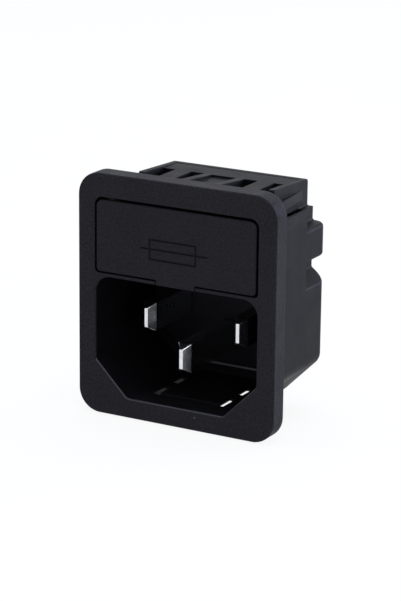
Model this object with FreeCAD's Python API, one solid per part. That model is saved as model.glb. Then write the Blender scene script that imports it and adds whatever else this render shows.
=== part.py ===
import FreeCAD, Part
import math
import os

from FreeCAD import Vector

# Panel-mount appliance inlet with a pull-out fuse drawer, in millimetres.
# X runs to the right, Y to the rear and Z up. The origin is the centre of the
# flange's rear face, which is the plane that seats on the panel.

# Flange, as a border around the mouth and the drawer's bay
FLANGE_SIDE_BORDER = 2.66
FLANGE_TOP_BORDER = 3.17
FLANGE_T = 2.74
FLANGE_CORNER = 3.2
FLANGE_EDGE = 0.25

# Mouth that takes the plug, and the plinth on its floor
MOUTH_H = 16.43
MOUTH_RAISE = 2.76
MOUTH_CORNER = 2.2
MOUTH_CHAMFER = 4.85
MOUTH_BEND = 0.9
MOUTH_LEAST_BEND = 0.5
MOUTH_EDGE = 0.25
MOUTH_REAR_WALL = 1.74
PLINTH_INSET = 1.45
PLINTH_RISE = 1.0
PLINTH_EDGE = 0.3

# Body behind the panel. Its width follows from the fuse: the narrow walls
# enclose the fuse's pocket, and the body and the mouth stand out from them
WALL = 1.0
SIDE_STEP_IN = 2.1
HAT_STEP_IN = 0.85
BODY_REAR_ROUND = 1.8
REAR_EDGE_ROUND = 0.5
DIVIDER = 0.5

# Bay for the drawer, and the narrower box that stands above the shoulders
BAY_OVERLAP = 0.1
BAY_H = 10.44
BAY_CORNER = 1.2
HAT_ROOF = 1.5
HAT_ROUND = 0.3
ARM_T = 0.85
SHOULDER_DROP = 1.08
SHOULDER_LENGTH = 9.1
SHOULDER_END_WALL = 0.8
SHOULDER_RIM = 0.4
SHOULDER_RIM_H = 1.3
ARM_SLOT_DROP = 1.0
ARM_SLOT_END = 12.3
BAY_REAR_WALL = 1.5

# Steps and side notches behind the shoulders, as heights above the bay's floor
SIDE_STEP_RISE = 6.46
UPPER_STEP_RISE = 8.36
NOTCH_TOP_RISE = 1.96
NOTCH_H = 2.0
NOTCH_SLOPE_H = 1.65
POCKET_WALL = 0.95

# Roof: snap tongue with two ribs, and the windows beside it
ROOF_SLOT_START = 0.6
ROOF_SLOT_END = 10.4
TONGUE_GAP = 0.7
ROOF_TONGUE_W = 6.1
ROOF_RECESS_W = 3.8
ROOF_RECESS_DEPTH = 0.3
INNER_WINDOW_W = 2.05
OUTER_WINDOW_W = 1.85
TOP_HOOK_RISE = 0.7
LATCH_NIB = 0.26

# Roof seam, in front of the rear wall
SEAM_W = 0.22
SEAM_DEPTH = 0.15

# Floor: snap tongue between slots that a web divides, with thin side wings
FLOOR_TONGUE_W = 9.2
FLOOR_SLOT_W = 0.8
FLOOR_SLOT_START = 0.95
FLOOR_SLOT_END = 9.1
FLOOR_FREE_GAP = 0.65
FLOOR_WEB_START = 3.35
FLOOR_WEB_W = 2.1
FLOOR_WING_T = 0.3
FLOOR_HOOK_W = 4.4
FLOOR_HOOK_DROP = 0.85
FLOOR_HOOK_END = 0.6
HOOK_NOSE = 0.6

# Wedges that centre the body in the panel's cut-out
SIDE_WEDGE_RISE = 0.45
SIDE_WEDGE_H = 1.5
SIDE_WEDGE_START = 1.2
ARM_WEDGE_RISE = 1.5
ARM_WEDGE_H = 1.4
ARM_WEDGE_LENGTH = 12.8
RIDGE_RISE = 0.45
RIDGE_START = 5.2
RIDGE_END = 14.8

# Contact blades
PIN_W = 4.0
PIN_T = 2.0
PIN_PITCH = 14.0
PIN_DROP = 6.22
EARTH_DROP = 4.0
LIVE_TIP_SETBACK = 4.4
EARTH_TIP_SETBACK = 1.7
TIP_TAPER = 1.2
TIP_SIDE_BEVEL = 0.76
TIP_END_BEVEL = 0.66
PIN_SLOT_CLEAR = 0.03
COLLAR_MARGIN = 0.6

# Rear terminals and the strip that joins the line blade to its fuse clip
TAB_W = 4.8
TAB_T = 0.8
TAB_LENGTH = 7.6
TAB_POINT = 0.9
TAB_HOLE_R = 0.8
TAB_HOLE_SETBACK = 3.2
REAR_RECESS = 0.8
RECESS_CLEAR = 0.15
STRIP_T = 0.6
STRIP_SIDE = 1.825
STRIP_END = 2.1
STRIP_TOP_ROUND = 1.2
STRIP_LOW_ROUND = 0.6
LOAD_BASE_OUT = 2.6
LOAD_BASE_IN = 2.9
LOAD_BEND = 1.0
TENON_R = 0.9
RIVET_R = 0.78
RIVET_HEAD_R = 1.3
RIVET_HEAD_H = 0.35
RIVET_HEAD_BEVEL = 0.18
RIVET_CLEAR = 0.04

# Fuses: glass tube, two end caps and the melting wire
FUSE_L = 20.0
CAP_D = 5.2
CAP_L = 5.2
CAP_END = 0.4
CAP_BEVEL = 0.3
CAP_WALL = 0.17
GLASS_WALL = 0.7
GLASS_CLEAR = 0.03
WIRE_D = 0.24

# Fuse clips
CLIP_T = 0.45
CLIP_W = 4.1
CLIP_CLEAR = 0.1
CLIP_BEND = 0.7
CLIP_LIP = 0.9
CLIP_FLARE = 0.45
CLIP_REACH = 2.3
FUSE_CLIP_INSET = 0.4

# Drawer
GAP_LEFT = 0.2
GAP_RIGHT = 0.4
GAP_TOP = 0.4
GAP_BOTTOM = 0.16
FACE_T = 1.9
FACE_EDGE = 0.22
GRIP_W = 5.8
GRIP_SIDE_GAP = 0.15
GRIP_T = 1.7
GRIP_REAR_GAP = 0.2
TRAY_FLOOR = 0.8
TRAY_WALL = 0.8
TRAY_SIDE_GAP = 0.35
TRAY_WALL_H = 6.2
FUSE_SEAT = 0.75
SPARE_GAP = 0.2
SPARE_RIB_W = 1.4
FUSE_GAP = 2.04
CRADLE_CLEAR = 0.05
CRADLE_END_GAP = 0.6
CRADLE_WRAP = 0.7
CRADLE_LIP = 0.45
LATCH_ARM_W = 5.0
LATCH_ARM_T = 0.8
LATCH_ARM_DROP = 0.1
LATCH_ARM_LENGTH = 7.5
LATCH_ARM_RAMP = 0.8

# Heights and depths that follow from the sizes above
FRONT = -FLANGE_T
POCKET_HALF = FUSE_L / 2 + RECESS_CLEAR
NARROW_HALF = POCKET_HALF + POCKET_WALL
BODY_HALF = NARROW_HALF + SIDE_STEP_IN
MOUTH_W = 2 * (BODY_HALF - WALL)
BAY_W = MOUTH_W + 2 * BAY_OVERLAP
HAT_W = 2 * (NARROW_HALF - HAT_STEP_IN)
GLASS_D = CAP_D - 2 * (CAP_WALL + GLASS_CLEAR)
CRADLE_HALF_W = FUSE_L / 2 - CAP_L - CRADLE_END_GAP
FLANGE_W = MOUTH_W + 2 * FLANGE_SIDE_BORDER
FLANGE_H = MOUTH_RAISE + MOUTH_H + DIVIDER + BAY_H + FLANGE_TOP_BORDER
MOUTH_BOTTOM = MOUTH_RAISE - FLANGE_H / 2
MOUTH_TOP = MOUTH_BOTTOM + MOUTH_H
BODY_BOTTOM = MOUTH_BOTTOM - WALL
BAY_FLOOR = MOUTH_TOP + DIVIDER
BAY_TOP = BAY_FLOOR + BAY_H
BAY_HALF = BODY_HALF - WALL
HAT_TOP = BAY_TOP + HAT_ROOF
SHOULDER_Z = BAY_TOP - SHOULDER_DROP
ARM_Z = BAY_FLOOR + UPPER_STEP_RISE
LIVE_Z = MOUTH_TOP - PIN_DROP
EARTH_Z = LIVE_Z - EARTH_DROP
DRAWER_BOTTOM = BAY_FLOOR + GAP_BOTTOM
FACE_REAR = FRONT + FACE_T
FUSE_Z = DRAWER_BOTTOM + TRAY_FLOOR + FUSE_SEAT + CAP_D / 2
SPARE_Y = FACE_REAR + SPARE_GAP + CAP_D / 2
TRAY_END = SPARE_Y + CAP_D / 2 + SPARE_GAP + TRAY_WALL
FUSE_Y = TRAY_END + FUSE_GAP + CAP_D / 2
BAY_REAR = FUSE_Y + CAP_D / 2 + SPARE_GAP + RIVET_HEAD_H + CLIP_T
BODY_DEPTH = BAY_REAR + BAY_REAR_WALL
MOUTH_FLOOR = BODY_DEPTH - MOUTH_REAR_WALL
RECESS_FLOOR = BODY_DEPTH - REAR_RECESS
TAB_END = BODY_DEPTH + TAB_LENGTH
LEAF_HALF = CAP_D / 2 + CLIP_CLEAR
CLIP_X = FUSE_L / 2 - FUSE_CLIP_INSET - CLIP_W / 2
POCKET_TOP = FUSE_Z + LEAF_HALF + CLIP_T + 0.25


def box(x0, x1, y0, y1, z0, z1):
    return Part.makeBox(x1 - x0, y1 - y0, z1 - z0, Vector(x0, y0, z0))


def cylinder_y(radius, y0, y1, x, z):
    return Part.makeCylinder(radius, y1 - y0, Vector(x, y0, z), Vector(0, 1, 0))


def cylinder_x(radius, x0, x1, y, z):
    return Part.makeCylinder(radius, x1 - x0, Vector(x0, y, z), Vector(1, 0, 0))


def place(plane, u, v, w):
    """A point from two coordinates in a plane and one across it."""
    return {"xz": Vector(u, w, v), "yz": Vector(w, u, v), "xy": Vector(u, v, w)}[plane]


def profile(plane, corners, low, high):
    """A prism of an outline whose corners are (u, v) or (u, v, radius)."""
    ends = []
    count = len(corners)
    for index, corner in enumerate(corners):
        here = Vector(corner[0], corner[1], 0)
        radius = corner[2] if len(corner) > 2 else 0
        before = Vector(corners[index - 1][0], corners[index - 1][1], 0) - here
        after = Vector(corners[(index + 1) % count][0], corners[(index + 1) % count][1], 0) - here
        before.normalize()
        after.normalize()
        if radius == 0:
            ends.append((here, None, here))
            continue
        half = math.acos(max(-1, min(1, before.dot(after)))) / 2
        middle = before + after
        middle.normalize()
        setback = radius / math.tan(half)
        summit = here + middle * (radius / math.sin(half) - radius)
        ends.append((here + before * setback, summit, here + after * setback))
    edges = []
    for index, (start, summit, end) in enumerate(ends):
        start, end = place(plane, start.x, start.y, low), place(plane, end.x, end.y, low)
        if summit is not None:
            edges.append(Part.Arc(start, place(plane, summit.x, summit.y, low), end).toShape())
        follower = ends[(index + 1) % count][0]
        follower = place(plane, follower.x, follower.y, low)
        if (follower - end).Length > 1e-6:
            edges.append(Part.LineSegment(end, follower).toShape())
    across = place(plane, 0, 0, high - low)
    return Part.Face(Part.Wire(edges)).extrude(across)


def mirrored(shape):
    return shape.mirror(Vector(0, 0, 0), Vector(1, 0, 0))


def both_sides(shapes):
    """The shapes made for the +X side, and their mirror images."""
    return shapes + [mirrored(shape) for shape in shapes]


def joined(shapes):
    return shapes[0].fuse(shapes[1:]).removeSplitter()


def edges_at(shape, test):
    """Edges whose two ends and middle all pass a test."""
    found = []
    for edge in shape.Edges:
        middle = edge.valueAt((edge.FirstParameter + edge.LastParameter) / 2)
        points = [vertex.Point for vertex in edge.Vertexes] + [middle]
        if all(test(point) for point in points):
            found.append(edge)
    return found


def at_depth(y):
    return lambda point: abs(point.y - y) < 1e-4


def mouth_corners(grow, top, top_round):
    """The mouth's outline with two cut lower corners, grown outwards by a wall."""
    half = MOUTH_W / 2 + grow
    slip = grow * math.tan(math.radians(22.5))
    side_z = MOUTH_BOTTOM + MOUTH_CHAMFER - slip
    foot_x = MOUTH_W / 2 - MOUTH_CHAMFER + slip
    bottom = MOUTH_BOTTOM - grow
    bend = max(MOUTH_LEAST_BEND, MOUTH_BEND + grow)
    return [(half, top, top_round), (half, side_z, bend), (foot_x, bottom, bend),
            (-foot_x, bottom, bend), (-half, side_z, bend), (-half, top, top_round)]


def flange():
    """Front plate with its softened rim, and the mouth cut through it."""
    x, z = FLANGE_W / 2, FLANGE_H / 2
    corners = [(x, z, FLANGE_CORNER), (x, -z, FLANGE_CORNER),
               (-x, -z, FLANGE_CORNER), (-x, z, FLANGE_CORNER)]
    plate = profile("xz", corners, FRONT, 0)
    plate = plate.makeFillet(FLANGE_EDGE, edges_at(plate, at_depth(FRONT)))
    plate = plate.cut(profile("xz", mouth_corners(0, MOUTH_TOP, MOUTH_CORNER), FRONT, 0))
    inside = MOUTH_W / 2 + WALL / 2
    rim = edges_at(plate, lambda point: at_depth(FRONT)(point) and abs(point.x) < inside)
    return plate.makeFillet(MOUTH_EDGE, rim)


def shell():
    """Lower body with rounded rear edges, up to the shoulders."""
    block = profile("xz", mouth_corners(WALL, SHOULDER_Z, 0), 0, BODY_DEPTH)
    rear = edges_at(block, lambda point: at_depth(BODY_DEPTH)(point))
    rear = [edge for edge in rear if edge.BoundBox.ZMin < SHOULDER_Z - 0.01]
    return block.makeFillet(BODY_REAR_ROUND, rear)


def rear_cuts():
    """Stepped upper corners and the side notches behind the shoulders."""
    start, end = SHOULDER_LENGTH, BODY_DEPTH + 1
    out = BODY_HALF + 1
    side_z = BAY_FLOOR + SIDE_STEP_RISE
    upper_z = ARM_Z
    top_z = BAY_FLOOR + NOTCH_TOP_RISE
    low_z = top_z - NOTCH_H
    outside = BODY_HALF
    fall = NOTCH_SLOPE_H * (out - NARROW_HALF) / (outside - NARROW_HALF)
    step = profile("xz", [(NARROW_HALF, HAT_TOP + 1), (out, HAT_TOP + 1), (out, side_z),
                          (NARROW_HALF, side_z, 0.3)], start, end)
    upper = profile("xz", [(HAT_W / 2, HAT_TOP + 1), (out, HAT_TOP + 1), (out, upper_z),
                           (HAT_W / 2, upper_z, 0.2)], start, end)
    notch = profile("xz", [(NARROW_HALF, top_z, 0.3), (out, top_z), (out, low_z - fall),
                           (NARROW_HALF, low_z, 0.3)], start, end)
    return both_sides([step, upper, notch])


def soften_rear(body):
    """Rounds the upright rear edges of the hat and of the narrow walls below it."""
    def on_wall(point):
        inset = min(abs(abs(point.x) - NARROW_HALF), abs(abs(point.x) - HAT_W / 2))
        return at_depth(BODY_DEPTH)(point) and inset < 1e-3
    body = body.removeSplitter()
    upright = [edge for edge in edges_at(body, on_wall) if edge.BoundBox.XLength < 1e-3]
    return body.makeFillet(REAR_EDGE_ROUND, upright)


def hat():
    """Narrow upper box whose sides are the two spring arms."""
    x = HAT_W / 2
    return profile("xz", [(x, HAT_TOP, HAT_ROUND), (x, BAY_FLOOR), (-x, BAY_FLOOR),
                          (-x, HAT_TOP, HAT_ROUND)], 0, BODY_DEPTH)


def bay_cuts():
    """The drawer's opening in the flange and the bay behind it."""
    x, low, high = BAY_W / 2, BAY_FLOOR, BAY_TOP
    opening = profile("xz", [(x, high, BAY_CORNER), (x, low, BAY_CORNER / 2),
                             (-x, low, BAY_CORNER / 2), (-x, high, BAY_CORNER)], FRONT - 1, 0)
    wide_end = SHOULDER_LENGTH - SHOULDER_END_WALL
    wide = box(-BAY_HALF, BAY_HALF, 0, wide_end, low, ARM_Z - ARM_SLOT_DROP)
    arm_in, arm_out, rim = HAT_W / 2 - ARM_T, HAT_W / 2, BODY_HALF - SHOULDER_RIM
    floor = ARM_Z - ARM_SLOT_DROP
    arm_slot = profile("xz", [(arm_in, floor), (BAY_HALF, floor), (BAY_HALF, SHOULDER_Z - SHOULDER_RIM_H),
                              (rim, SHOULDER_Z), (rim, HAT_TOP), (arm_out, HAT_TOP),
                              (arm_out, ARM_Z), (arm_in, ARM_Z)], 0, ARM_SLOT_END)
    pocket = box(-POCKET_HALF, POCKET_HALF, 0, BAY_REAR, low, POCKET_TOP)
    inner = HAT_W / 2 - ARM_T
    under_roof = box(-inner, inner, 0, BAY_REAR, low, high)
    grip = GRIP_W / 2 + GRIP_SIDE_GAP
    notch = box(-grip, grip, FRONT - 1, FRONT + GRIP_T + GRIP_REAR_GAP, MOUTH_TOP - 1, low + 1)
    return [opening, wide, pocket, under_roof, notch] + both_sides([arm_slot])


def roof_cuts():
    """Windows on both sides of the roof's tongue, its free end and its recess."""
    start, end = ROOF_SLOT_START, ROOF_SLOT_END
    low, high = BAY_TOP - 0.1, HAT_TOP + 1
    inner = ROOF_TONGUE_W / 2
    outer = HAT_W / 2 - ARM_T
    windows = both_sides([
        box(inner, inner + INNER_WINDOW_W, start, end, low, high),
        box(outer - OUTER_WINDOW_W, outer, start, end, low, high)])
    front_gap = box(-inner, inner, start, start + TONGUE_GAP, low, high)
    seam_y = BAY_REAR
    seam = box(-HAT_W, HAT_W, seam_y, seam_y + SEAM_W, HAT_TOP - SEAM_DEPTH, high)
    recess = box(-ROOF_RECESS_W / 2, ROOF_RECESS_W / 2, start + TONGUE_GAP, end - 0.1,
                 HAT_TOP - ROOF_RECESS_DEPTH, high)
    return windows + [front_gap, recess, seam]


def floor_cuts():
    """Slots that free the tongue in the mouth's lower wall."""
    half = FLOOR_TONGUE_W / 2
    out = half + FLOOR_SLOT_W
    low, high = BODY_BOTTOM - 1, MOUTH_BOTTOM + 0.2
    web = FLOOR_SLOT_START + FLOOR_WEB_START
    front_slot = box(half, out, FLOOR_SLOT_START, web, low, high)
    rear_slot = box(half, out, web + FLOOR_WEB_W, FLOOR_SLOT_END, low, high)
    relief = box(FLOOR_HOOK_W / 2, out, FLOOR_SLOT_START, BODY_DEPTH - 2 * BODY_REAR_ROUND,
                 low, MOUTH_BOTTOM - FLOOR_WING_T)
    across = box(-half, half, FLOOR_SLOT_START, FLOOR_SLOT_START + FLOOR_FREE_GAP, low, high)
    return both_sides([front_slot, rear_slot, relief]) + [across]


def hooks():
    """Snap hooks on the two tongues, the drawer's latch nib and the wedges."""
    nose = ROOF_SLOT_START + TONGUE_GAP
    rib_in, rib_out = ROOF_RECESS_W / 2, ROOF_TONGUE_W / 2
    top_hook = profile("yz", [(nose, HAT_TOP), (nose + HOOK_NOSE, HAT_TOP + TOP_HOOK_RISE, 0.2),
                              (nose + 2 * HOOK_NOSE, HAT_TOP + TOP_HOOK_RISE, 0.3),
                              (ROOF_SLOT_END, HAT_TOP)], rib_in, rib_out)
    nib = profile("yz", [(nose, BAY_TOP), (nose + HOOK_NOSE, BAY_TOP - LATCH_NIB),
                         (nose + 2 * HOOK_NOSE, BAY_TOP - LATCH_NIB),
                         (nose + 3 * HOOK_NOSE, BAY_TOP)], -rib_out, rib_out)
    free = FLOOR_SLOT_START + FLOOR_FREE_GAP
    half = FLOOR_HOOK_W / 2
    floor_hook = profile("yz", [(free, BODY_BOTTOM), (free + 0.15, BODY_BOTTOM - FLOOR_HOOK_DROP, 0.2),
                                (free + HOOK_NOSE, BODY_BOTTOM - FLOOR_HOOK_DROP, 0.2),
                                (FLOOR_SLOT_END - FLOOR_HOOK_END, BODY_BOTTOM)], -half, half)
    side_wedge = profile("xy", [(BODY_HALF, SIDE_WEDGE_START),
                                (BODY_HALF + SIDE_WEDGE_RISE, SIDE_WEDGE_START + 0.4, 0.15),
                                (BODY_HALF, SHOULDER_LENGTH)],
                         SHOULDER_Z - SIDE_WEDGE_H, SHOULDER_Z)
    arm_x = HAT_W / 2
    arm_wedge = profile("xy", [(arm_x, ROOF_SLOT_START),
                               (arm_x + ARM_WEDGE_RISE, ROOF_SLOT_START + HOOK_NOSE, 0.2),
                               (arm_x, ROOF_SLOT_START + ARM_WEDGE_LENGTH)],
                        SHOULDER_Z, SHOULDER_Z + ARM_WEDGE_H)
    foot = HAT_TOP - HAT_ROUND
    ridge = profile("yz", [(RIDGE_START, foot), (RIDGE_START, HAT_TOP + RIDGE_RISE, 0.25),
                           (RIDGE_END, HAT_TOP), (RIDGE_END, foot)], arm_x - ARM_T, arm_x)
    return both_sides([top_hook, side_wedge, arm_wedge, ridge]) + [nib, floor_hook]


def pin_slots():
    """Slots for the blades, with the collars' recesses and the strip's channel."""
    cuts = []
    for x, z in ((PIN_PITCH / 2, LIVE_Z), (-PIN_PITCH / 2, LIVE_Z), (0, EARTH_Z)):
        half_t, half_w = PIN_T / 2 + PIN_SLOT_CLEAR, PIN_W / 2 + PIN_SLOT_CLEAR
        cuts.append(box(x - half_t, x + half_t, FRONT, BODY_DEPTH + 1, z - half_w, z + half_w))
    for x, z in ((-PIN_PITCH / 2, LIVE_Z), (0, EARTH_Z)):
        half_t = PIN_T / 2 + COLLAR_MARGIN + PIN_SLOT_CLEAR
        half_w = PIN_W / 2 + COLLAR_MARGIN + PIN_SLOT_CLEAR
        cuts.append(box(x - half_t, x + half_t, RECESS_FLOOR, BODY_DEPTH + 1, z - half_w, z + half_w))
    cuts.append(strip_plate(RECESS_CLEAR, RECESS_FLOOR, BODY_DEPTH + 1))
    x0, x1 = load_base_span()
    half = TAB_W / 2 + RECESS_CLEAR
    cuts.append(box(x0 - RECESS_CLEAR, x1 + RECESS_CLEAR, RECESS_FLOOR, BODY_DEPTH + 1,
                    FUSE_Z - half, FUSE_Z + half))
    for x in (CLIP_X, -CLIP_X):
        cuts.append(cylinder_y(RIVET_R + RIVET_CLEAR, BAY_REAR - 1, BODY_DEPTH, x, FUSE_Z))
    return cuts


def mouth_cavity():
    """The mouth behind the flange, less the plinth on its floor."""
    hollow = profile("xz", mouth_corners(0, MOUTH_TOP, MOUTH_CORNER), 0, MOUTH_FLOOR)
    plinth = profile("xz", mouth_corners(-PLINTH_INSET, MOUTH_TOP - PLINTH_INSET, 0.8),
                     MOUTH_FLOOR - PLINTH_RISE, MOUTH_FLOOR + 1)
    plinth = plinth.makeChamfer(PLINTH_EDGE, edges_at(plinth, at_depth(MOUTH_FLOOR - PLINTH_RISE)))
    return hollow.cut(plinth)


def housing():
    body = joined([flange(), shell(), hat()])
    body = soften_rear(body.cut(rear_cuts()))
    body = body.cut([mouth_cavity()] + bay_cuts() + roof_cuts() + floor_cuts())
    body = joined([body] + hooks())
    return body.cut(pin_slots())


def blade(x, z, setback):
    """Contact blade with a bevelled tip, from its tip to the rear recess."""
    tip = FRONT + setback
    full = tip + TIP_TAPER
    half_t, half_w = PIN_T / 2, PIN_W / 2
    flat_t, flat_w = half_t - TIP_SIDE_BEVEL, half_w - TIP_END_BEVEL
    point = Part.makeWedge(x - flat_t, tip, z - flat_w, z - half_w, x - half_t,
                           x + flat_t, full, z + flat_w, z + half_w, x + half_t)
    return point.fuse(box(x - half_t, x + half_t, full, RECESS_FLOOR, z - half_w, z + half_w))


def tab_outline(z):
    """Side view of a quick-connect tab with its pointed end."""
    half = TAB_W / 2
    return [(RECESS_FLOOR, z - half), (TAB_END - TAB_POINT, z - half),
            (TAB_END, z - half + TAB_POINT), (TAB_END, z + half - TAB_POINT),
            (TAB_END - TAB_POINT, z + half), (RECESS_FLOOR, z + half)]


def tab_hole(x, z):
    return cylinder_x(TAB_HOLE_R, x - TAB_T, x + TAB_T, TAB_END - TAB_HOLE_SETBACK, z)


def contact_with_tab(x, z, setback):
    """A blade, its collar and the tab that is coined from the same bar."""
    half_t, half_w = PIN_T / 2 + COLLAR_MARGIN, PIN_W / 2 + COLLAR_MARGIN
    collar = box(x - half_t, x + half_t, RECESS_FLOOR, BODY_DEPTH, z - half_w, z + half_w)
    tab = profile("yz", tab_outline(z), x - TAB_T / 2, x + TAB_T / 2)
    return joined([blade(x, z, setback), collar, tab]).cut(tab_hole(x, z))


def strip_plate(grow, y0, y1):
    """Outline of the strip from the line blade up to the fuse clip."""
    centre = (PIN_PITCH / 2 + CLIP_X) / 2
    half = abs(CLIP_X - PIN_PITCH / 2) / 2 + STRIP_SIDE + grow
    low, high = LIVE_Z - STRIP_END - grow, FUSE_Z + STRIP_END + grow
    top, foot = STRIP_TOP_ROUND, STRIP_LOW_ROUND
    return profile("xz", [(centre + half, high, top), (centre + half, low, foot),
                          (centre - half, low, foot), (centre - half, high, top)], y0, y1)


def line_pin():
    """Blade with a round tenon, swaged over the strip."""
    x, z = PIN_PITCH / 2, LIVE_Z
    back = RECESS_FLOOR + STRIP_T
    tenon = cylinder_y(TENON_R, RECESS_FLOOR, back, x, z)
    head = cylinder_y(RIVET_HEAD_R, back, back + RIVET_HEAD_H, x, z)
    head = head.makeChamfer(RIVET_HEAD_BEVEL, edges_at(head, at_depth(back + RIVET_HEAD_H)))
    return joined([blade(x, z, LIVE_TIP_SETBACK), tenon, head])


def line_strip():
    plate = strip_plate(0, RECESS_FLOOR, RECESS_FLOOR + STRIP_T)
    holes = [cylinder_y(TENON_R + RIVET_CLEAR, RECESS_FLOOR, BODY_DEPTH, PIN_PITCH / 2, LIVE_Z),
             cylinder_y(RIVET_R + RIVET_CLEAR, RECESS_FLOOR, BODY_DEPTH, CLIP_X, FUSE_Z)]
    return plate.cut(holes)


def load_base_span():
    """Left and right ends of the load terminal's base, behind the left clip."""
    return -CLIP_X - LOAD_BASE_OUT, -CLIP_X + LOAD_BASE_IN


def load_tab():
    """Terminal bent from sheet: a riveted base and a tab that points rearwards."""
    x0, x1 = load_base_span()
    half = TAB_W / 2
    base_back = RECESS_FLOOR + TAB_T
    angle = profile("xy", [(x0, RECESS_FLOOR), (x0, base_back), (x1 - TAB_T, base_back, LOAD_BEND - TAB_T),
                           (x1 - TAB_T, TAB_END), (x1, TAB_END), (x1, RECESS_FLOOR, LOAD_BEND)],
                    FUSE_Z - half, FUSE_Z + half)
    trim = profile("yz", tab_outline(FUSE_Z), x0 - 1, x1 + 1)
    rivet_hole = cylinder_y(RIVET_R + RIVET_CLEAR, RECESS_FLOOR, base_back, -CLIP_X, FUSE_Z)
    return angle.common(trim).cut([rivet_hole, tab_hole(x1 - TAB_T / 2, FUSE_Z)])


def fuse_clip(x):
    """U-shaped spring clip, open to the front with flared lips."""
    back, seat = BAY_REAR, BAY_REAR - CLIP_T
    front = FUSE_Y - CLIP_REACH
    lip = front + CLIP_LIP
    inner, outer = LEAF_HALF, LEAF_HALF + CLIP_T
    wide, tight = CLIP_BEND, CLIP_BEND - CLIP_T
    corners = [(front, outer + CLIP_FLARE), (lip, outer), (back, outer, wide),
               (back, -outer, wide), (lip, -outer), (front, -outer - CLIP_FLARE),
               (front, -inner - CLIP_FLARE), (lip, -inner), (seat, -inner, tight),
               (seat, inner, tight), (lip, inner), (front, inner + CLIP_FLARE)]
    raised = [(corner[0], corner[1] + FUSE_Z) + corner[2:] for corner in corners]
    band = profile("yz", raised, x - CLIP_W / 2, x + CLIP_W / 2)
    return band.cut(cylinder_y(RIVET_R + RIVET_CLEAR, seat, back, x, FUSE_Z))


def clip_rivet(x, sheet):
    """Rivet through a clip, the rear wall and the metal behind it."""
    front, back = BAY_REAR - CLIP_T, RECESS_FLOOR + sheet
    shank = cylinder_y(RIVET_R, front, back, x, FUSE_Z)
    inner = cylinder_y(RIVET_HEAD_R, front - RIVET_HEAD_H, front, x, FUSE_Z)
    outer = cylinder_y(RIVET_HEAD_R, back, back + RIVET_HEAD_H, x, FUSE_Z)
    outer = outer.makeChamfer(RIVET_HEAD_BEVEL, edges_at(outer, at_depth(back + RIVET_HEAD_H)))
    return joined([shank, inner, outer])


def fuse_glass(y):
    half = FUSE_L / 2 - CAP_END
    tube = cylinder_x(GLASS_D / 2, -half, half, y, FUSE_Z)
    return tube.cut(cylinder_x(GLASS_D / 2 - GLASS_WALL, -half, half, y, FUSE_Z))


def fuse_cap(y):
    """Right-hand end cap: a drawn cup that fits over the glass."""
    end = FUSE_L / 2
    cup = cylinder_x(CAP_D / 2, end - CAP_L, end, y, FUSE_Z)
    cup = cup.makeChamfer(CAP_BEVEL, edges_at(cup, lambda point: abs(point.x - end) < 1e-4))
    return cup.cut(cylinder_x(GLASS_D / 2 + GLASS_CLEAR, end - CAP_L, end - CAP_END, y, FUSE_Z))


def fuse_wire(y):
    half = FUSE_L / 2 - CAP_END
    return cylinder_x(WIRE_D / 2, -half, half, y, FUSE_Z)


def cradle(x0, x1, y0, y1, y):
    """A block whose trough wraps a little past the middle of the glass."""
    block = box(x0, x1, y0, y1, DRAWER_BOTTOM, FUSE_Z + CRADLE_WRAP)
    return block.cut(cylinder_x(GLASS_D / 2 + CRADLE_CLEAR, x0, x1, y, FUSE_Z))


def drawer_face():
    """Front plate with softened edges, and the finger grip under it."""
    left, right = -BAY_W / 2 + GAP_LEFT, BAY_W / 2 - GAP_RIGHT
    low, high = DRAWER_BOTTOM, BAY_TOP - GAP_TOP
    top_round = BAY_CORNER - GAP_RIGHT / 2
    low_round = BAY_CORNER / 2
    face = profile("xz", [(right, high, top_round), (right, low, low_round),
                          (left, low, low_round), (left, high, top_round)], FRONT, FACE_REAR)
    face = face.makeFillet(FACE_EDGE, edges_at(face, at_depth(FRONT)))
    grip = box(-GRIP_W / 2, GRIP_W / 2, FRONT, FRONT + GRIP_T, MOUTH_TOP, low + FACE_EDGE * 2)
    lower = edges_at(grip, lambda point: abs(point.z - MOUTH_TOP) < 1e-4)
    return [face, grip.makeFillet(FACE_EDGE / 2, lower)]


def fuse_drawer():
    """Drawer with a tray for the spare fuse and a cradle for the working one."""
    low = DRAWER_BOTTOM
    floor_top = low + TRAY_FLOOR
    side = BAY_HALF - TRAY_SIDE_GAP
    wall_top = low + TRAY_WALL_H
    floor = box(-side, side, FACE_REAR, TRAY_END, low, floor_top)
    rear_wall = box(-side, side, TRAY_END - TRAY_WALL, TRAY_END, low, wall_top)
    side_wall = box(side - TRAY_WALL, side, FACE_REAR, TRAY_END, low, wall_top)
    spare_rib = cradle(CRADLE_HALF_W - SPARE_RIB_W, CRADLE_HALF_W, FACE_REAR, TRAY_END - TRAY_WALL, SPARE_Y)
    cradle_end = FUSE_Y + GLASS_D / 2 + CRADLE_LIP
    working = cradle(-CRADLE_HALF_W, CRADLE_HALF_W, TRAY_END, cradle_end, FUSE_Y)
    arm_top = BAY_TOP - GAP_TOP - LATCH_ARM_DROP
    arm_end = FACE_REAR + LATCH_ARM_LENGTH
    arm = profile("yz", [(FACE_REAR, arm_top - LATCH_ARM_T), (FACE_REAR, arm_top), (arm_end - LATCH_ARM_RAMP, arm_top),
                         (arm_end, arm_top - LATCH_ARM_T)], -LATCH_ARM_W / 2, LATCH_ARM_W / 2)
    return joined(drawer_face() + both_sides([side_wall, spare_rib])
                  + [floor, rear_wall, working, arm])


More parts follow.
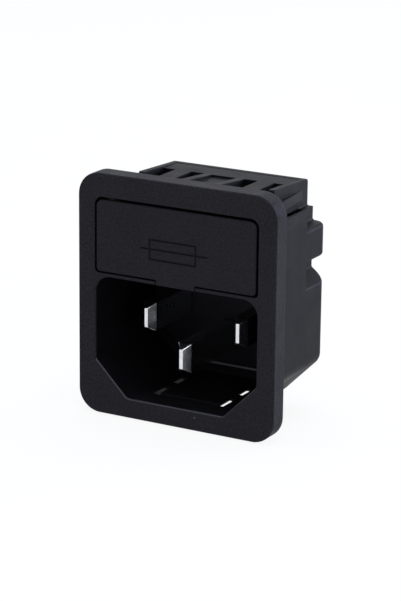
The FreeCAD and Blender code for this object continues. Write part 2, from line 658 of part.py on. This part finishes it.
def parts():
    found = {
        "housing": housing(),
        "fuse_drawer": fuse_drawer(),
        "line_pin": line_pin(),
        "neutral_contact": contact_with_tab(-PIN_PITCH / 2, LIVE_Z, LIVE_TIP_SETBACK),
        "earth_contact": contact_with_tab(0, EARTH_Z, EARTH_TIP_SETBACK),
        "line_strip": line_strip(),
        "load_tab": load_tab(),
        "line_clip": fuse_clip(CLIP_X),
        "load_clip": fuse_clip(-CLIP_X),
        "line_clip_rivet": clip_rivet(CLIP_X, STRIP_T),
        "load_clip_rivet": clip_rivet(-CLIP_X, TAB_T),
    }
    for name, y in (("fuse", FUSE_Y), ("spare_fuse", SPARE_Y)):
        found[name + "_glass"] = fuse_glass(y)
        found[name + "_cap_right"] = fuse_cap(y)
        found[name + "_cap_left"] = mirrored(fuse_cap(y))
        found[name + "_wire"] = fuse_wire(y)
    return found


os.makedirs("parts", exist_ok=True)
for node, shape in parts().items():
    shape.exportStep(os.path.join("parts", node + ".step"))
    bounds = shape.BoundBox
    print(node, len(shape.Solids), shape.isValid(), round(shape.Volume, 2),
          [round(value, 2) for value in (bounds.XMin, bounds.XMax, bounds.YMin, bounds.YMax,
                                         bounds.ZMin, bounds.ZMax)])
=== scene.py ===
import math

import bpy
from mathutils import Matrix, Vector


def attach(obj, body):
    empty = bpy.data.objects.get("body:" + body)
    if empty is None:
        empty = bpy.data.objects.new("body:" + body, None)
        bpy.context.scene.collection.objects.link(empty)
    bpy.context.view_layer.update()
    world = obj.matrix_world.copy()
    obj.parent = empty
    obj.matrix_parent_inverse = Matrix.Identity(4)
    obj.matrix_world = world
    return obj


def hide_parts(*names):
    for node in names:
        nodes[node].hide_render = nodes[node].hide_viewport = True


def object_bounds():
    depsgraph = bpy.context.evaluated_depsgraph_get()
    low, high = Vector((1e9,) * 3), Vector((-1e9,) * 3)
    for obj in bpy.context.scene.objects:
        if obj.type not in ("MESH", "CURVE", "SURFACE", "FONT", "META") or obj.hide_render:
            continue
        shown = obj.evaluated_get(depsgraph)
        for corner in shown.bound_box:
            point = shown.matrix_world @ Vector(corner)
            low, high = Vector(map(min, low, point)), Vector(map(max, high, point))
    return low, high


MM = 0.001

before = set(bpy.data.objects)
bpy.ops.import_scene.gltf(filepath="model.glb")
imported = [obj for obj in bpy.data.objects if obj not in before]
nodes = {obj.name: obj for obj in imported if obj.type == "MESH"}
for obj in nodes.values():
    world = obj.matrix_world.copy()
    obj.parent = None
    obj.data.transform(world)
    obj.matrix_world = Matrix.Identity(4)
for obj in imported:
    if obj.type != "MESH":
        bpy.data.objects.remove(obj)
cad_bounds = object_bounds()


# Camera: its place in metres, its axes and its lens, from edges and corners of the photograph

CAMERA_POINT = (0.15188, -0.26846, 0.09104)
CAMERA_RIGHT = (0.87206, 0.48927, 0.01036)
CAMERA_UP = (-0.14683, 0.24138, 0.95923)
CAMERA_BACK = (0.46684, -0.83805, 0.28234)
LENS_MM = 145.79
SENSOR_MM = 36
CLIP_NEAR, CLIP_FAR = 0.01, 20


def place_camera():
    """Puts the camera where the photograph was taken from."""
    data = bpy.data.cameras.new("photo_camera")
    data.sensor_width = SENSOR_MM
    data.lens = LENS_MM
    data.clip_start = CLIP_NEAR
    data.clip_end = CLIP_FAR
    camera = bpy.data.objects.new("photo_camera", data)
    bpy.context.scene.collection.objects.link(camera)
    turn = Matrix((CAMERA_RIGHT, CAMERA_UP, CAMERA_BACK)).transposed()
    camera.matrix_world = Matrix.Translation(CAMERA_POINT) @ turn.to_4x4()
    bpy.context.scene.camera = camera


# Node and colour helpers

def colour(code):
    """An sRGB hex value as the linear colour that a socket takes."""
    found = []
    for start in (0, 2, 4):
        value = int(code[start:start + 2], 16) / 255
        if value <= 0.04045:
            found.append(value / 12.92)
        else:
            found.append(((value + 0.055) / 1.055) ** 2.4)
    return found + [1.0]


def add_node(tree, kind, place, settings=None, inputs=None):
    """Adds a node, with its settings, its socket values and its incoming links."""
    node = tree.nodes.new(kind)
    node.location = place
    for name, value in (settings or {}).items():
        setattr(node, name, value)
    for name, value in (inputs or {}).items():
        if isinstance(value, bpy.types.NodeSocket):
            tree.links.new(value, node.inputs[name])
        else:
            node.inputs[name].default_value = value
    return node


def math_node(tree, place, operation, first, second):
    """The result of one sum on two values or sockets."""
    node = add_node(tree, "ShaderNodeMath", place, {"operation": operation}, {0: first, 1: second})
    return node.outputs["Value"]


def new_material(name):
    """An empty material and its node tree, ending in an output node."""
    material = bpy.data.materials.new(name)
    material.use_nodes = True
    material.node_tree.nodes.clear()
    output = add_node(material.node_tree, "ShaderNodeOutputMaterial", (900, 0))
    return material, material.node_tree, output


def close_material(tree, output, inputs):
    """Ends a material in one principled shader."""
    shader = add_node(tree, "ShaderNodeBsdfPrincipled", (300, 0), inputs=inputs)
    tree.links.new(shader.outputs["BSDF"], output.inputs["Surface"])


def object_space(tree, place):
    """The point in metres, in the piece's own coordinates."""
    return add_node(tree, "ShaderNodeTexCoord", place).outputs["Object"]


def noise(tree, place, where, scale, detail, roughness=0.5):
    """Soft blobs, as many to the metre as the scale says."""
    node = add_node(tree, "ShaderNodeTexNoise", place,
                    inputs={"Vector": where, "Scale": scale, "Detail": detail, "Roughness": roughness})
    return node.outputs["Fac"]


def streaks(tree, place, where, scale, detail):
    """Blobs drawn out into lines, with a scale for each axis."""
    stretched = add_node(tree, "ShaderNodeMapping", (place[0] - 200, place[1]),
                         inputs={"Vector": where, "Scale": scale})
    return noise(tree, place, stretched.outputs["Vector"], 1.0, detail)


def tinted(tree, place, pattern, stops):
    """A colour that follows a pattern, from pairs of position and sRGB hex value."""
    node = add_node(tree, "ShaderNodeValToRGB", place, inputs={"Fac": pattern})
    ramp = node.color_ramp
    while len(ramp.elements) > 1:
        ramp.elements.remove(ramp.elements[-1])
    ramp.elements[0].position = stops[0][0]
    ramp.elements[0].color = colour(stops[0][1])
    for position, code in stops[1:]:
        ramp.elements.new(position).color = colour(code)
    return node.outputs["Color"]


def mapped(tree, place, pattern, taken, given):
    """A value that follows a pattern, from one range to another."""
    node = add_node(tree, "ShaderNodeMapRange", place,
                    inputs={"Value": pattern, "From Min": taken[0], "From Max": taken[1],
                            "To Min": given[0], "To Max": given[1]})
    return node.outputs["Result"]


def relief(tree, place, height, depth, strength, normal=None):
    """A normal that follows a pattern of heights."""
    inputs = {"Strength": strength, "Distance": depth, "Height": height}
    if normal:
        inputs["Normal"] = normal
    return add_node(tree, "ShaderNodeBump", place, inputs=inputs).outputs["Normal"]


# Moulded thermoplastic of the housing and the drawer

EDGE_ROUND = 0.18 * MM
ERODED_DEPTH = 0.12 * MM
PLAIN_DEPTH = 0.02 * MM
SHEEN_SPREAD = 0.05
POLYAMIDE_IOR = 1.53
# Tint of the plastic's reflections: the blue of the studio light, painted into the plastic
SHINE_TINT = "ecedff"

# Dust: its cells to the metre, a speck's radius in cells, the share of cells that stay
# clean, how much of the plastic a speck covers, and its colour
DUST_CELLS = 620.0
DUST_RADIUS = 0.055
DUST_CLEAN = 0.93
DUST_COVER = 0.5
DUST_TINT = "8c8c90"


def dusted(tree, where, base):
    """A colour with rare pale specks up to 0.18 mm across, about one on three square centimetres."""
    cells = add_node(tree, "ShaderNodeTexVoronoi", (-1300, 600), {"feature": "F1"},
                     {"Vector": where, "Scale": DUST_CELLS, "Randomness": 1.0})
    parts = add_node(tree, "ShaderNodeSeparateColor", (-1050, 800),
                     inputs={"Color": cells.outputs["Color"]})
    speck = math_node(tree, (-1050, 650), "LESS_THAN", cells.outputs["Distance"], DUST_RADIUS)
    rare = math_node(tree, (-850, 800), "GREATER_THAN", parts.outputs["Red"], DUST_CLEAN)
    dust = math_node(tree, (-680, 700), "MULTIPLY", speck, rare)
    amount = math_node(tree, (-520, 700), "MULTIPLY", dust, DUST_COVER)
    mix = add_node(tree, "ShaderNodeMix", (-350, 350), {"data_type": "RGBA"},
                   {0: amount, 6: base, 7: colour(DUST_TINT)})
    return mix.outputs[2]


def moulded_polyamide(name, dark, light, eroded, gloss, shine):
    """Black glass-filled polyamide. From an eroded mould wall it has a fine even grain and
    a greyer black, from a plain wall a deep black with cloudy changes of sheen."""
    material, tree, output = new_material(name)
    where = object_space(tree, (-1600, 0))

    # Cloudy variation a few millimetres across, as the melt flows into the mould
    clouds = noise(tree, (-1300, 300), where, 260.0, 3.0, 0.55)

    # Eroded grain: about 0.1 mm in the real one, drawn at 0.3 mm so that it shows.
    # Its pits are painted black and its peaks a little grey, following the bump's heights: painted shade
    # in the pits and a painted sheen on the peaks.
    grain = noise(tree, (-1300, 0), where, 3300.0, 3.0, 0.7)
    tint = tinted(tree, (-1050, 400), grain if eroded else clouds, [(0.36, dark), (0.64, light)])

    # Moulded edges are never knife-sharp: they are a little round, which catches the light
    edge = add_node(tree, "ShaderNodeBevel", (-800, -450), {"samples": 4}, {"Radius": EDGE_ROUND})
    depth = ERODED_DEPTH if eroded else PLAIN_DEPTH
    normal = relief(tree, (-450, -250), grain, depth, 1.0, edge.outputs["Normal"])

    # Some areas are a little smoother than others and shine more
    sheen = mapped(tree, (-700, 60), clouds, (0.3, 0.7), (gloss - SHEEN_SPREAD, gloss + SHEEN_SPREAD))

    close_material(tree, output, {
        "Base Color": dusted(tree, where, tint), "Roughness": sheen, "IOR": POLYAMIDE_IOR,
        "Specular IOR Level": shine, "Specular Tint": colour(SHINE_TINT), "Normal": normal})
    return material


# Metals

def close_metal(tree, output, tint, rough, normal):
    """Ends a metal's material in its colour, its roughness and its normal."""
    close_material(tree, output,
                   {"Base Color": tint, "Metallic": 1.0, "Roughness": rough, "Normal": normal})


def drawn_nickel():
    """Brass bar under bright nickel: a cool smooth mirror, with faint lines from the
    drawing die that run along the blade, and dulled patches where plugs have rubbed."""
    material, tree, output = new_material("nickel_plated_brass_drawn")
    where = object_space(tree, (-1300, 0))

    # Drawing lines: 0.08 mm apart in the real one, drawn at about 0.2 mm across the blade
    lines = streaks(tree, (-900, 0), where, (5200.0, 60.0, 5200.0), 1.0)
    patches = noise(tree, (-900, 300), where, 1100.0, 3.0, 0.6)
    tint = tinted(tree, (-650, 300), patches, [(0.34, "cfd2d5"), (0.5, "dcdee0"), (0.72, "e8e9ea")])
    rough = mapped(tree, (-650, 60), patches, (0.3, 0.75), (0.24, 0.16))
    close_metal(tree, output, tint, rough, relief(tree, (-400, -200), lines, 0.002 * MM, 0.5))
    return material


def tinned_brass():
    """Rolled brass sheet under dull tin: a soft grey-white with a cloudy bloom."""
    material, tree, output = new_material("tin_plated_brass_rolled")
    where = object_space(tree, (-1300, 0))
    bloom = noise(tree, (-1000, 250), where, 900.0, 5.0, 0.7)
    tint = tinted(tree, (-700, 250), bloom, [(0.35, "a9a8a5"), (0.65, "cfcfcd")])
    rough = mapped(tree, (-700, 20), bloom, (0.3, 0.7), (0.46, 0.3))

    # Rolling marks along the tabs, 0.15 mm apart
    marks = streaks(tree, (-900, -200), where, (6500.0, 200.0, 6500.0), 2.0)
    close_metal(tree, output, tint, rough, relief(tree, (-400, -200), marks, 0.02 * MM, 0.3))
    return material


def flashed_bronze():
    """Phosphor bronze strip with a thin tin flash: a warm grey where the bronze
    shows through, with the fine grain of cold-rolled spring strip."""
    material, tree, output = new_material("phosphor_bronze_tin_flashed")
    where = object_space(tree, (-1300, 0))
    worn = noise(tree, (-1000, 250), where, 650.0, 5.0, 0.65)
    tint = tinted(tree, (-700, 250), worn, [(0.34, "a08b6c"), (0.5, "b3a893"), (0.68, "c4c0b7")])

    # Grain of the strip: lines 0.17 mm apart that run across the inlet
    grain = streaks(tree, (-900, -200), where, (300.0, 6000.0, 6000.0), 2.0)
    rough = mapped(tree, (-700, 20), grain, (0.3, 0.7), (0.26, 0.38))
    close_metal(tree, output, tint, rough, relief(tree, (-400, -200), grain, 0.01 * MM, 0.25))
    return material


def upset_nickel(name, bright, dull):
    """Nickel-plated metal formed by pressing: satin, with shallow dents 0.7 mm across."""
    material, tree, output = new_material(name)
    where = object_space(tree, (-1300, 0))
    dents = noise(tree, (-1000, 200), where, 1500.0, 4.0, 0.6)
    tint = tinted(tree, (-700, 250), dents, [(0.35, dull), (0.65, bright)])
    rough = mapped(tree, (-700, 20), dents, (0.3, 0.7), (0.36, 0.22))
    close_metal(tree, output, tint, rough, relief(tree, (-400, -200), dents, 0.03 * MM, 0.4))
    return material


def tinned_wire():
    """Fine tinned copper wire: warm grey with copper showing here and there."""
    material, tree, output = new_material("tinned_copper_wire")
    where = object_space(tree, (-1100, 0))
    worn = noise(tree, (-800, 100), where, 1800.0, 3.0)
    tint = tinted(tree, (-500, 100), worn, [(0.4, "b07a55"), (0.6, "bdb3a4")])
    close_material(tree, output, {"Base Color": tint, "Metallic": 1.0, "Roughness": 0.32})
    return material


# Glass

def fuse_tube_glass():
    """Drawn soda-lime tube: clear with a faint green edge and slight draw lines 0.6 mm apart."""
    material, tree, output = new_material("soda_lime_glass_drawn")
    where = object_space(tree, (-1100, 0))
    lines = streaks(tree, (-700, 0), where, (60.0, 1600.0, 1600.0), 2.0)
    tint = tinted(tree, (-450, 200), lines, [(0.3, "e6f3ec"), (0.7, "f4fbf7")])
    close_material(tree, output, {
        "Base Color": tint, "Roughness": 0.03, "IOR": 1.52, "Transmission Weight": 1.0,
        "Normal": relief(tree, (-300, -200), lines, 0.02 * MM, 0.2)})
    return material


def finish_node(name, material):
    """Gives a CAD node its finish."""
    slots = nodes[name].data.materials
    slots.clear()
    slots.append(material)


# Copies of CAD nodes that are worked on further

MERGE_WITHIN = 0.001 * MM
FLAT_WITHIN = 0.01
SHARP_ANGLE = 0.45
ROUND_STEPS = 3


def deselect():
    """Leaves nothing selected."""
    for other in bpy.context.selected_objects:
        other.select_set(False)


def take_up(piece):
    """Makes a piece the only one that is selected and active."""
    deselect()
    bpy.context.view_layer.objects.active = piece
    piece.select_set(True)


def merged_copy(source, name):
    """A copy of a CAD node whose loose triangles are joined."""
    piece = bpy.data.objects.new(name, nodes[source].data.copy())
    bpy.context.scene.collection.objects.link(piece)
    take_up(piece)
    bpy.ops.object.mode_set(mode="EDIT")
    bpy.ops.mesh.select_all(action="SELECT")
    bpy.ops.mesh.remove_doubles(threshold=MERGE_WITHIN)
    bpy.ops.object.mode_set(mode="OBJECT")
    return piece


def soften_edges(piece, width):
    """Rounds a piece's sharp edges, then shades its curves smoothly and its flat faces flat."""
    take_up(piece)
    soften = piece.modifiers.new("edges", "BEVEL")
    soften.width = width
    soften.segments = ROUND_STEPS
    soften.limit_method = "ANGLE"
    soften.angle_limit = SHARP_ANGLE
    bpy.ops.object.modifier_apply(modifier=soften.name)
    bpy.ops.object.shade_smooth_by_angle(angle=SHARP_ANGLE)
    even = piece.modifiers.new("shading", "WEIGHTED_NORMAL")
    even.weight = 100
    even.keep_sharp = True
    bpy.ops.object.modifier_apply(modifier=even.name)


def rounded_copy(source, width):
    """A copy of a metal node with its edges rounded, as plating and tumbling leave them."""
    piece = merged_copy(source, "rounded_" + source)
    bpy.ops.object.mode_set(mode="EDIT")
    bpy.ops.mesh.dissolve_limited(angle_limit=FLAT_WITHIN)
    bpy.ops.object.mode_set(mode="OBJECT")
    soften_edges(piece, width)
    return piece


# What shows in the panel is eroded: all in front of this plane or outside these half sizes
SHOW_FACE_Y = -2.4 * MM
SHOW_HALF_W = 14.0 * MM
SHOW_HALF_H = 15.7 * MM

# A moulding's materials, in this order
ERODED, PLAIN, GLOSSY = 0, 1, 2


def grained_copy(source, name, eroded, plain):
    """A copy of a moulding, eroded where it shows in the panel and plain elsewhere."""
    piece = merged_copy(source, name)
    piece.data.materials.clear()
    piece.data.materials.append(eroded)
    piece.data.materials.append(plain)
    for face in piece.data.polygons:
        x, y, z = face.center
        shown = y < SHOW_FACE_Y or abs(x) > SHOW_HALF_W or abs(z) > SHOW_HALF_H
        face.material_index = ERODED if shown else PLAIN
    return piece


# The narrow faces that slant up along the mouth's lower edge, which plugs rub smooth
MOUTH_EDGE_Y = -2.45 * MM
MOUTH_EDGE_HALF_W = 12.6 * MM
MOUTH_EDGE_LOW, MOUTH_EDGE_HIGH = -14.4 * MM, -8.0 * MM
LEAST_LEAN, MOST_LEAN = 0.2, 0.95
LEAST_RISE = 0.3


def rubbed_mouth(piece, glossy):
    """Gives the lower edge of the mouth a glossier material than the rest."""
    piece.data.materials.append(glossy)
    for face in piece.data.polygons:
        x, y, z = face.center
        around_mouth = abs(x) < MOUTH_EDGE_HALF_W and MOUTH_EDGE_LOW < z < MOUTH_EDGE_HIGH
        slanting = LEAST_LEAN < -face.normal.y < MOST_LEAN and face.normal.z > LEAST_RISE
        if around_mouth and y < MOUTH_EDGE_Y and slanting:
            face.material_index = GLOSSY
    return piece


# The drawer's engraved front: a fuse sign, which is a rectangle with a lead right through it

FACE_Y = -2.74 * MM
GROOVE_W = 0.28 * MM
SYMBOL_LEFT, SYMBOL_RIGHT = -3.88 * MM, 3.02 * MM
SYMBOL_LOW, SYMBOL_HIGH = 5.97 * MM, 8.65 * MM
LEAD_LEFT, LEAD_RIGHT, LEAD_Z = -5.2 * MM, 4.75 * MM, 7.36 * MM


def groove_cutter(x0, z0, x1, z1):
    """A four-sided bar with one corner in the drawer, which cuts a V-shaped line."""
    deselect()
    middle = ((x0 + x1) / 2, FACE_Y, (z0 + z1) / 2)
    length = abs(x1 - x0) + abs(z1 - z0) + GROOVE_W / 2
    turn = (0, math.pi / 2, 0) if x1 > x0 else (0, 0, 0)
    bpy.ops.mesh.primitive_cylinder_add(vertices=4, radius=GROOVE_W / 2, depth=length,
                                        location=middle, rotation=turn)
    bpy.ops.object.transform_apply(location=True, rotation=True, scale=True)
    return bpy.context.object


def engrave(piece, cutter):
    """Cuts one bar out of a piece, whose cut faces come out plain, and takes the bar away."""
    for material in piece.data.materials:
        cutter.data.materials.append(material)
    for face in cutter.data.polygons:
        face.material_index = PLAIN
    take_up(piece)
    cut = piece.modifiers.new("engraving", "BOOLEAN")
    cut.operation = "DIFFERENCE"
    cut.solver = "EXACT"
    cut.object = cutter
    bpy.ops.object.modifier_apply(modifier=cut.name)
    bpy.data.objects.remove(cutter)


def engraved_drawer(eroded, plain):
    """A copy of the drawer with the fuse sign cut into its front."""
    piece = grained_copy("fuse_drawer", "engraved_drawer", eroded, plain)
    lines = [
        (SYMBOL_LEFT, SYMBOL_HIGH, SYMBOL_RIGHT, SYMBOL_HIGH),
        (SYMBOL_LEFT, SYMBOL_LOW, SYMBOL_RIGHT, SYMBOL_LOW),
        (SYMBOL_LEFT, SYMBOL_LOW, SYMBOL_LEFT, SYMBOL_HIGH),
        (SYMBOL_RIGHT, SYMBOL_LOW, SYMBOL_RIGHT, SYMBOL_HIGH),
        (LEAD_LEFT, LEAD_Z, LEAD_RIGHT, LEAD_Z),
    ]
    for line in lines:
        engrave(piece, groove_cutter(*line))
    return piece


# The rim along the lower edge of the plinth that carries the blades. Its face leans back,
# so it catches the light that comes in through the mouth.

PLINTH_FACE_Y = 12.56 * MM
RIM_HALF = 6.7 * MM
RIM_LOW, RIM_HIGH = -12.34 * MM, -12.0 * MM
RIM_REACH = 0.3 * MM
RIM_ROUND = 0.06 * MM
RIM_LEAN = 0.25


def plinth_rim():
    """A thin rounded rim where two blocks of the mould meet."""
    deselect()
    bpy.ops.mesh.primitive_cube_add(size=1, location=(0, PLINTH_FACE_Y, (RIM_LOW + RIM_HIGH) / 2))
    rim = bpy.context.object
    rim.name = "plinth_rim"
    rim.scale = (2 * RIM_HALF, 2 * RIM_REACH, RIM_HIGH - RIM_LOW)
    rim.rotation_euler.x = -RIM_LEAN
    bpy.ops.object.transform_apply(location=True, rotation=True, scale=True)
    soften_edges(rim, RIM_ROUND)
    return rim


# Light, floor and background

WHITE = "ffffff"
WORLD_TINT, WORLD_LIGHT = "eef1f6", 0.35

# Each softbox: where it stands, its sides in metres, its power in watts and its tint
SOFTBOXES = {
    "overhead_softbox": ((0.0, 0.08, 0.6), (0.6, 0.6), 4.4, "dfe7ff"),
    "front_right_softbox": ((0.45, -0.35, 0.25), (0.4, 0.5), 1.2, "f4f6ff"),
    "back_right_softbox": ((0.4, 0.55, 0.12), (0.4, 0.3), 2.6, "d6deff"),
}

FLOOR_SIDE = 4
FLOOR_GAP = 0.1 * MM
FLOOR_GLOW = 0.9
PAPER_TINT = "f6f6f6"


def seen_by_eye(tree, place):
    """A value that is 1 to the camera, to gloss and through glass."""
    path = add_node(tree, "ShaderNodeLightPath", (place[0] - 600, place[1] + 200))
    eye_or_gloss = math_node(tree, (place[0] - 400, place[1] + 200), "MAXIMUM",
                             path.outputs["Is Camera Ray"], path.outputs["Is Glossy Ray"])
    return math_node(tree, (place[0] - 200, place[1] + 200), "MAXIMUM",
                     eye_or_gloss, path.outputs["Is Transmission Ray"])


def light_world():
    """Even studio light, with a plain white background where it is looked at."""
    world = bpy.data.worlds.new("studio")
    bpy.context.scene.world = world
    world.use_nodes = True
    tree = world.node_tree
    tree.nodes.clear()
    lit = add_node(tree, "ShaderNodeBackground", (0, 0),
                   inputs={"Color": colour(WORLD_TINT), "Strength": WORLD_LIGHT})
    white = add_node(tree, "ShaderNodeBackground", (0, -150),
                     inputs={"Color": colour(WHITE), "Strength": 1.0})
    mix = add_node(tree, "ShaderNodeMixShader", (250, 0),
                   inputs={0: seen_by_eye(tree, (0, 0)), 1: lit.outputs["Background"],
                           2: white.outputs["Background"]})
    add_node(tree, "ShaderNodeOutputWorld", (450, 0), inputs={"Surface": mix.outputs["Shader"]})


def softbox(name, place, sides, power, tint):
    """A rectangular studio lamp that faces the object."""
    data = bpy.data.lights.new(name, "AREA")
    data.shape = "RECTANGLE"
    data.size, data.size_y = sides
    data.energy = power
    data.color = colour(tint)[:3]
    lamp = bpy.data.objects.new(name, data)
    bpy.context.scene.collection.objects.link(lamp)
    lamp.location = place
    to_object = Vector((0, 0, 0)) - Vector(place)
    lamp.rotation_euler = to_object.to_track_quat("-Z", "Y").to_euler()


def lay_floor():
    """A pale tabletop with a fine tooth, which stays white and keeps a faint shadow."""
    low = cad_bounds[0][2]
    deselect()
    bpy.ops.mesh.primitive_plane_add(size=FLOOR_SIDE, location=(0, 0, low - FLOOR_GAP))
    floor = bpy.context.object
    floor.name = "floor"
    material, tree, output = new_material("pale_paper")
    tooth = noise(tree, (-700, -200), object_space(tree, (-900, -200)), 900.0, 2.0)
    paper = add_node(tree, "ShaderNodeBsdfDiffuse", (0, -150),
                     inputs={"Color": colour(PAPER_TINT),
                             "Normal": relief(tree, (-450, -200), tooth, 0.05 * MM, 0.1)})
    white = add_node(tree, "ShaderNodeEmission", (0, 50),
                     inputs={"Color": colour(WHITE), "Strength": 1.0})
    share = math_node(tree, (100, 300), "MULTIPLY", seen_by_eye(tree, (100, 100)), FLOOR_GLOW)
    mix = add_node(tree, "ShaderNodeMixShader", (500, 0),
                   inputs={0: share, 1: paper.outputs["BSDF"], 2: white.outputs["Emission"]})
    tree.links.new(mix.outputs["Shader"], output.inputs["Surface"])
    floor.data.materials.append(material)


# Putting it together

scene = bpy.context.scene
scene.view_settings.view_transform = "Standard"

place_camera()
light_world()
for lamp_name, (place, sides, power, tint) in SOFTBOXES.items():
    softbox(lamp_name, place, sides, power, tint)
lay_floor()

# The eroded housing's two colours follow its grain: painted shade in the pits, a painted sheen on the
# peaks
housing_eroded = moulded_polyamide("polyamide_housing_eroded_black", "08070a", "1d1c20", True, 0.6, 0.15)
housing_plain = moulded_polyamide("polyamide_housing_plain_black", "050506", "08080b", False, 0.55, 0.12)

# The rim and the mouth's lower edge are the glossiest spots and show as pale grey lines
housing_glossy = moulded_polyamide("polyamide_housing_glossy_black", "08080a", "0d0d10", False, 0.38, 0.5)
# The eroded drawer's two colours follow its grain: painted shade in the pits, a painted sheen on the
# peaks
drawer_eroded = moulded_polyamide("polyamide_drawer_eroded_black", "070609", "1b1a1e", True, 0.6, 0.15)
drawer_plain = moulded_polyamide("polyamide_drawer_plain_black", "050506", "08080b", False, 0.55, 0.12)
blade_nickel = drawn_nickel()
terminal_tin = tinned_brass()
clip_bronze = flashed_bronze()
rivet_nickel = upset_nickel("nickel_plated_rivet_upset", "cdc9c0", "a8a294")
cap_nickel = upset_nickel("nickel_plated_cap_drawn", "d6d3cb", "b8b3a8")

# Each metal node: its finish, the record's slot and how far its edges are rounded
METAL = {
    "line_pin": (blade_nickel, "nickel_blades", 0.09 * MM),
    "neutral_contact": (blade_nickel, "nickel_blades", 0.09 * MM),
    "earth_contact": (blade_nickel, "nickel_blades", 0.09 * MM),
    "line_strip": (terminal_tin, "tinned_terminals", 0.08 * MM),
    "load_tab": (terminal_tin, "tinned_terminals", 0.08 * MM),
    "line_clip": (clip_bronze, "spring_clips", 0.05 * MM),
    "load_clip": (clip_bronze, "spring_clips", 0.05 * MM),
    "line_clip_rivet": (rivet_nickel, "rivets", 0.14 * MM),
    "load_clip_rivet": (rivet_nickel, "rivets", 0.14 * MM),
    "fuse_cap_right": (cap_nickel, "fuse_caps", 0.2 * MM),
    "fuse_cap_left": (cap_nickel, "fuse_caps", 0.2 * MM),
    "spare_fuse_cap_right": (cap_nickel, "fuse_caps", 0.2 * MM),
    "spare_fuse_cap_left": (cap_nickel, "fuse_caps", 0.2 * MM),
}


def stand_in(piece, body, node):
    """Lets a finished piece ride on a body in place of a CAD node."""
    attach(piece, body)
    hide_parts(node)


for node, (material, slot, rounding) in METAL.items():
    body = "drawer" if "fuse_cap" in node else "inlet"
    finish_node(node, material)
    stand_in(rounded_copy(node, rounding), body, node)

finish_node("housing", housing_plain)
finish_node("fuse_drawer", drawer_plain)
moulding = grained_copy("housing", "grained_housing", housing_eroded, housing_plain)
stand_in(rubbed_mouth(moulding, housing_glossy), "inlet", "housing")
stand_in(engraved_drawer(drawer_eroded, drawer_plain), "drawer", "fuse_drawer")
rim = plinth_rim()
rim.data.materials.append(housing_glossy)
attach(rim, "inlet")
tube_glass = fuse_tube_glass()
melting_wire = tinned_wire()
for fuse in ("fuse", "spare_fuse"):
    finish_node(fuse + "_glass", tube_glass)
    finish_node(fuse + "_wire", melting_wire)
